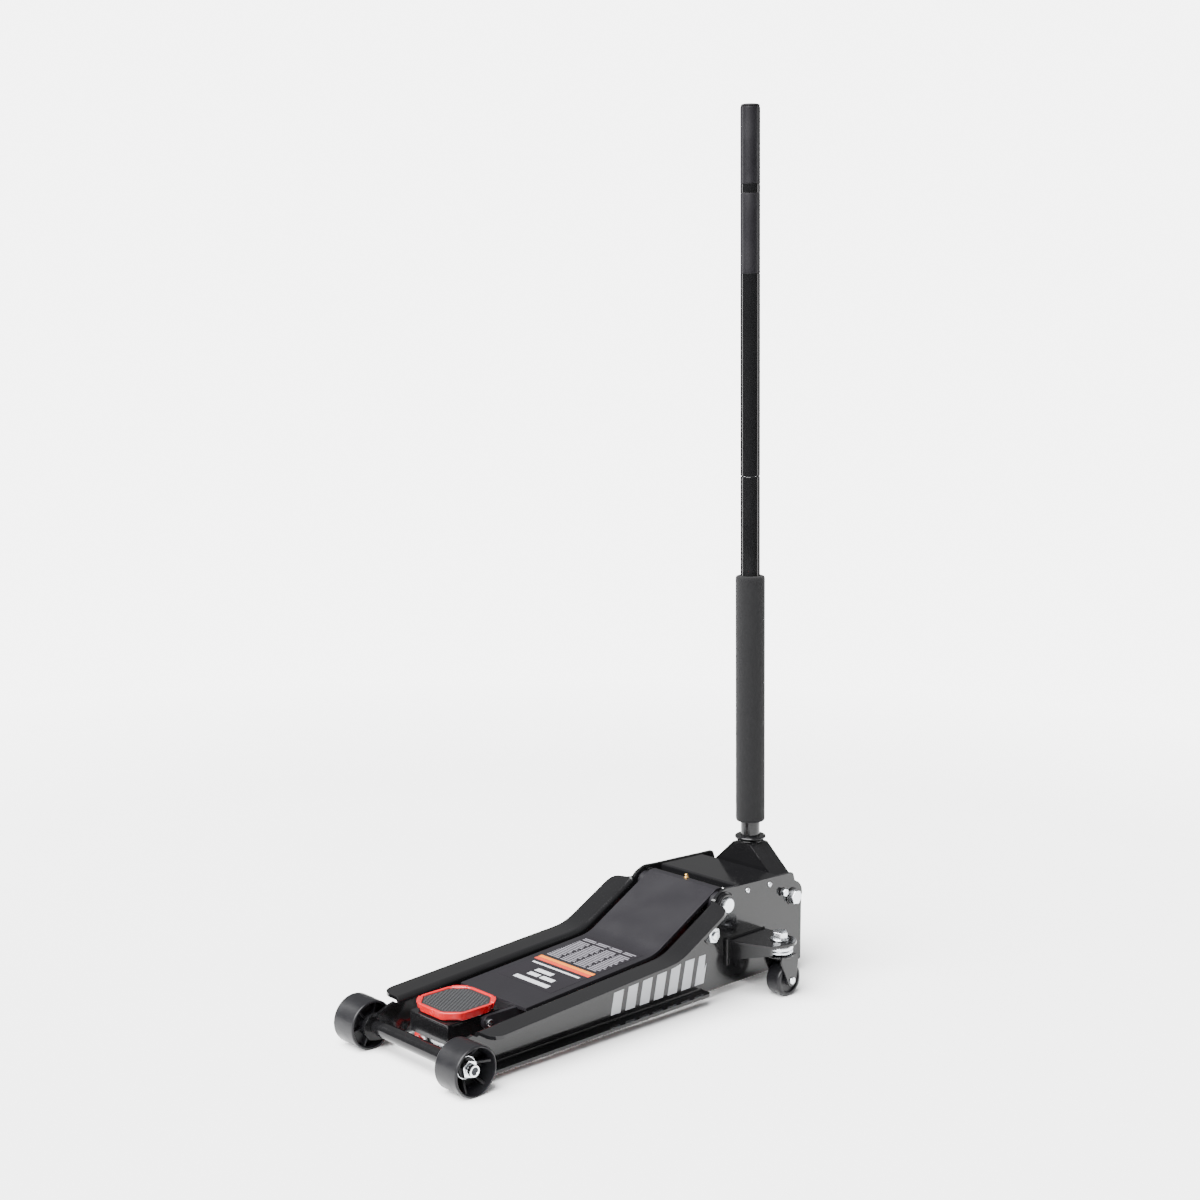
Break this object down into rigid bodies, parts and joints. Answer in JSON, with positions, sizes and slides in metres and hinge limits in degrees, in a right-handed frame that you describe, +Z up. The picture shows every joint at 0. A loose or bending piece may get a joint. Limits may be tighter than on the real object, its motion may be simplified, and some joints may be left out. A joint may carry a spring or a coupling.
{
  "type": "hydraulic floor jack",
  "caption": "Low-profile trolley jack with pressed side plates, hydraulic lift arm, level swivel saddle, pump handle and rear casters.",
  "frame": {"origin": "middle of the outline at floor level", "axes": "+X across the jack, +Y towards the handle, +Z up"},
  "size_m": [0.3598, 0.8042, 1.4581],
  "materials": {
    "gloss_enamel": "glossy black enamel on pressed steel",
    "satin_powder_coat": "fine satin black powder coat",
    "cast_iron_paint": "machined and painted iron casting",
    "zinc_plate": "bright zinc-plated steel",
    "hard_chrome": "hard chrome, ground",
    "red_enamel": "glossy red enamel",
    "black_rubber": "matt moulded rubber",
    "wheel_nylon": "satin black cast wheel",
    "foam_grip": "closed-cell foam sleeve",
    "brass": "turned brass"
  },
  "bodies": {
    "chassis": {"side_plate_left": "gloss_enamel", "side_plate_right": "gloss_enamel", "axle_sleeve": "gloss_enamel", "front_axle": "zinc_plate", "axle_nut_left": "zinc_plate", "axle_nut_right": "zinc_plate", "arm_pivot_shaft": "zinc_plate", "pivot_collar_left": "gloss_enamel", "pivot_collar_right": "gloss_enamel", "link_anchor_bolt_left": "zinc_plate", "link_anchor_bolt_right": "zinc_plate", "rear_cover": "gloss_enamel", "caster_bracket_left": "gloss_enamel", "caster_bracket_right": "gloss_enamel", "caster_stud_left": "zinc_plate", "caster_stud_right": "zinc_plate", "swivel_race_left": "zinc_plate", "swivel_race_right": "zinc_plate", "socket_bolt_left": "zinc_plate", "socket_bolt_right": "zinc_plate", "bolt_keeper_left": "gloss_enamel", "bolt_keeper_right": "gloss_enamel", "unit_base": "gloss_enamel", "pump_block": "cast_iron_paint", "hydraulic_cylinder": "cast_iron_paint", "frame_tie": "gloss_enamel"},
    "arm": {"lift_arm": "satin_powder_coat", "lever_pin": "zinc_plate", "saddle_pin": "zinc_plate", "grease_fitting": "brass"},
    "saddle_mount": {"saddle_bracket": "gloss_enamel", "link_pin": "zinc_plate"},
    "saddle": {"saddle_cup": "red_enamel", "saddle_pad": "black_rubber"},
    "links": {"link_rod_left": "red_enamel", "link_rod_right": "red_enamel"},
    "ram": {"ram_rod": "hard_chrome", "ram_head": "cast_iron_paint"},
    "socket": {"handle_socket": "gloss_enamel", "socket_ring": "gloss_enamel"},
    "handle": {"lower_handle": "gloss_enamel", "upper_handle": "gloss_enamel", "handle_spigot": "zinc_plate", "handle_cap": "black_rubber", "foam_grip": "foam_grip", "release_drive": "zinc_plate"},
    "plunger": {"pump_plunger": "hard_chrome"},
    "valve": {"release_valve": "zinc_plate"},
    "wheel_left": {"front_wheel_left": "wheel_nylon"},
    "wheel_right": {"front_wheel_right": "wheel_nylon"},
    "fork_left": {"caster_fork_left": "gloss_enamel", "caster_axle_left": "zinc_plate"},
    "fork_right": {"caster_fork_right": "gloss_enamel", "caster_axle_right": "zinc_plate"},
    "roller_left": {"caster_wheel_left": "wheel_nylon"},
    "roller_right": {"caster_wheel_right": "wheel_nylon"}
  },
  "joints": [
    {"name": "arm_lift", "type": "hinge", "parent": "chassis", "child": "arm", "pos_m": [0, 0.20354, 0.15755], "axis": [-1, 0, 0], "range_deg": [0, 58]},
    {"name": "saddle_level", "type": "hinge", "parent": "arm", "child": "saddle_mount", "pos_m": [0, -0.2656, 0.06151], "axis": [-1, 0, 0], "range_deg": [-58, 0]},
    {"name": "saddle_turn", "type": "hinge", "parent": "saddle_mount", "child": "saddle", "pos_m": [0, -0.28192, 0.07668], "axis": [0, -0.0203, 0.9998], "continuous": true},
    {"name": "link_swing", "type": "hinge", "parent": "chassis", "child": "links", "pos_m": [0, 0.17243, 0.11341], "axis": [-1, 0, 0], "range_deg": [0, 58]},
    {"name": "ram_stroke", "type": "slide", "parent": "chassis", "child": "ram", "axis": [0, -0.9998, -0.0203], "range_m": [0, 0.0735]},
    {"name": "handle_pump", "type": "hinge", "parent": "chassis", "child": "socket", "pos_m": [0, 0.37597, 0.13805], "axis": [-1, 0, 0], "range_deg": [0, 50]},
    {"name": "handle_twist", "type": "hinge", "parent": "socket", "child": "handle", "pos_m": [0, 0.37597, 0.13805], "axis": [0, -0.0379, 0.9993], "range_deg": [-30, 90]},
    {"name": "plunger_stroke", "type": "slide", "parent": "chassis", "child": "plunger", "axis": [0, -0.9998, -0.0203], "range_m": [0, 0.0246]},
    {"name": "valve_turn", "type": "hinge", "parent": "chassis", "child": "valve", "pos_m": [0, 0.37597, 0.13805], "axis": [0, 0.8132, 0.582], "range_deg": [-30, 90]},
    {"name": "wheel_spin_left", "type": "hinge", "parent": "chassis", "child": "wheel_left", "pos_m": [-0.122, -0.36415, 0.038], "axis": [1, 0, 0], "continuous": true},
    {"name": "wheel_spin_right", "type": "hinge", "parent": "chassis", "child": "wheel_right", "pos_m": [0.122, -0.36415, 0.038], "axis": [1, 0, 0], "continuous": true},
    {"name": "caster_turn_left", "type": "hinge", "parent": "chassis", "child": "fork_left", "pos_m": [-0.152, 0.28047, 0.06309], "axis": [0, -0.0203, 0.9998], "continuous": true},
    {"name": "caster_turn_right", "type": "hinge", "parent": "chassis", "child": "fork_right", "pos_m": [0.152, 0.28047, 0.06309], "axis": [0, -0.0203, 0.9998], "continuous": true},
    {"name": "roller_spin_left", "type": "hinge", "parent": "fork_left", "child": "roller_left", "pos_m": [-0.152, 0.29119, 0.028], "axis": [1, 0, 0], "continuous": true},
    {"name": "roller_spin_right", "type": "hinge", "parent": "fork_right", "child": "roller_right", "pos_m": [0.152, 0.29119, 0.028], "axis": [1, 0, 0], "continuous": true}
  ],
  "couplings": [
    {"joint": "saddle_level", "follows": "arm_lift", "ratio": -1},
    {"joint": "link_swing", "follows": "arm_lift", "ratio": 1},
    {"joint": "ram_stroke", "follows": "arm_lift", "m_per_rad": 0.072},
    {"joint": "plunger_stroke", "follows": "handle_pump", "m_per_rad": 0.028},
    {"joint": "valve_turn", "follows": "handle_twist", "ratio": 1}
  ]
}
